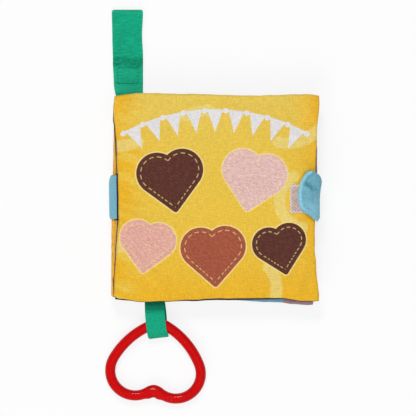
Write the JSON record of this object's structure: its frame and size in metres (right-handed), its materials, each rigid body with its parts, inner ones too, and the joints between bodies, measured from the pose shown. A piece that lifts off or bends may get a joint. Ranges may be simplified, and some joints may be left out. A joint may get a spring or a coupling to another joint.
{
  "type": "crinkle cloth book",
  "caption": "Soft padded cloth book with turning crinkle leaves, a hook and loop closure strap, a webbing stroller strap and a heart teether on a ribbon.",
  "frame": {"origin": "centre of the closed book's flat underside, on the closure band under the back cover", "axes": "+Y up the page towards the webbing strap, +X from the spine to the fore-edge, +Z out of the front cover"},
  "size_m": [0.1582, 0.2878, 0.0251],
  "materials": {
    "cover_print": "printed brushed polyester cloth, matte, fine weave",
    "cover_lining": "navy polyester cloth, matte",
    "page_sky": "light blue polyester cloth, matte",
    "page_pink": "mauve pink polyester cloth, matte",
    "page_mint": "mint polyester cloth, matte",
    "batting": "soft white polyester wadding",
    "crinkle_film": "thin stiff crinkling film",
    "hook_loop_tape": "white hook and loop tape with a pinked stitched edge",
    "closure_cloth": "light blue fleece with a stitched edge",
    "webbing": "jade green woven tape, lightly brushed",
    "teether": "glossy moulded red plastic"
  },
  "bodies": {
    "book_back": {"back_cover_upper_cloth": "cover_lining", "back_cover_lower_cloth": "cover_print", "back_cover_batting": "batting", "back_cover_crinkle_film": "crinkle_film", "back_cover_hinge_strip": "cover_print", "spine_binding": "cover_print", "closure_band": "closure_cloth", "strap_tail": "webbing", "ribbon_tail": "webbing"},
    "leaf_2": {"leaf_2_upper_cloth": "page_pink", "leaf_2_lower_cloth": "page_sky", "leaf_2_batting": "batting", "leaf_2_crinkle_film": "crinkle_film", "leaf_2_hinge_strip": "page_sky"},
    "leaf_1": {"leaf_1_upper_cloth": "page_sky", "leaf_1_lower_cloth": "page_mint", "leaf_1_batting": "batting", "leaf_1_crinkle_film": "crinkle_film", "leaf_1_hinge_strip": "page_mint"},
    "front_cover": {"front_cover_upper_cloth": "cover_print", "front_cover_lower_cloth": "cover_lining", "front_cover_batting": "batting", "front_cover_crinkle_film": "crinkle_film", "front_cover_hinge_strip": "cover_print", "closure_loop_patch": "hook_loop_tape"},
    "closure_riser": {"closure_riser": "closure_cloth"},
    "closure_tab": {"closure_tab": "closure_cloth", "closure_hook_patch": "hook_loop_tape"},
    "strap": {"strap_web": "webbing", "strap_loop_patch": "hook_loop_tape"},
    "strap_flap": {"strap_flap": "webbing", "strap_hook_patch": "hook_loop_tape"},
    "ribbon": {"teether_ribbon": "webbing"},
    "teether": {"heart_teether": "teether"}
  },
  "joints": [
    {"name": "spread_3_opening", "type": "hinge", "parent": "book_back", "child": "leaf_2", "pos_m": [-0.0752, 0, 0.0112], "axis": [0, -1, 0], "range_deg": [0, 180]},
    {"name": "spread_2_opening", "type": "hinge", "parent": "leaf_2", "child": "leaf_1", "pos_m": [-0.0752, 0, 0.0112], "axis": [0, -1, 0], "range_deg": [0, 180]},
    {"name": "spread_1_opening", "type": "hinge", "parent": "leaf_1", "child": "front_cover", "pos_m": [-0.0752, 0, 0.0112], "axis": [0, -1, 0], "range_deg": [0, 180], "deforming": ["closure_tab", "closure_hook_patch"]},
    {"name": "closure_riser_bend", "type": "hinge", "parent": "book_back", "child": "closure_riser", "pos_m": [0.076, 0, 0.0007], "axis": [0, 1, 0], "range_deg": [0, 85]},
    {"name": "closure_tab_peel", "type": "hinge", "parent": "closure_riser", "child": "closure_tab", "pos_m": [0.07665, 0, 0.02075], "axis": [0, 1, 0], "range_deg": [0, 90]},
    {"name": "strap_bend", "type": "hinge", "parent": "book_back", "child": "strap", "pos_m": [-0.0651, 0.0762, 0.00495], "axis": [1, 0, 0], "range_deg": [0, 90]},
    {"name": "strap_flap_opening", "type": "hinge", "parent": "strap", "child": "strap_flap", "pos_m": [-0.0651, 0.13735, 0.0021], "axis": [1, 0, 0], "range_deg": [0, 180]},
    {"name": "ribbon_bend", "type": "hinge", "parent": "book_back", "child": "ribbon", "pos_m": [-0.0446, -0.07545, 0.00365], "axis": [-1, 0, 0], "range_deg": [0, 55]},
    {"name": "teether_swing", "type": "hinge", "parent": "ribbon", "child": "teether", "pos_m": [-0.0427, -0.102, 0.00449], "axis": [0, -0.0212, 0.9998], "range_deg": [-8, 8]}
  ]
}
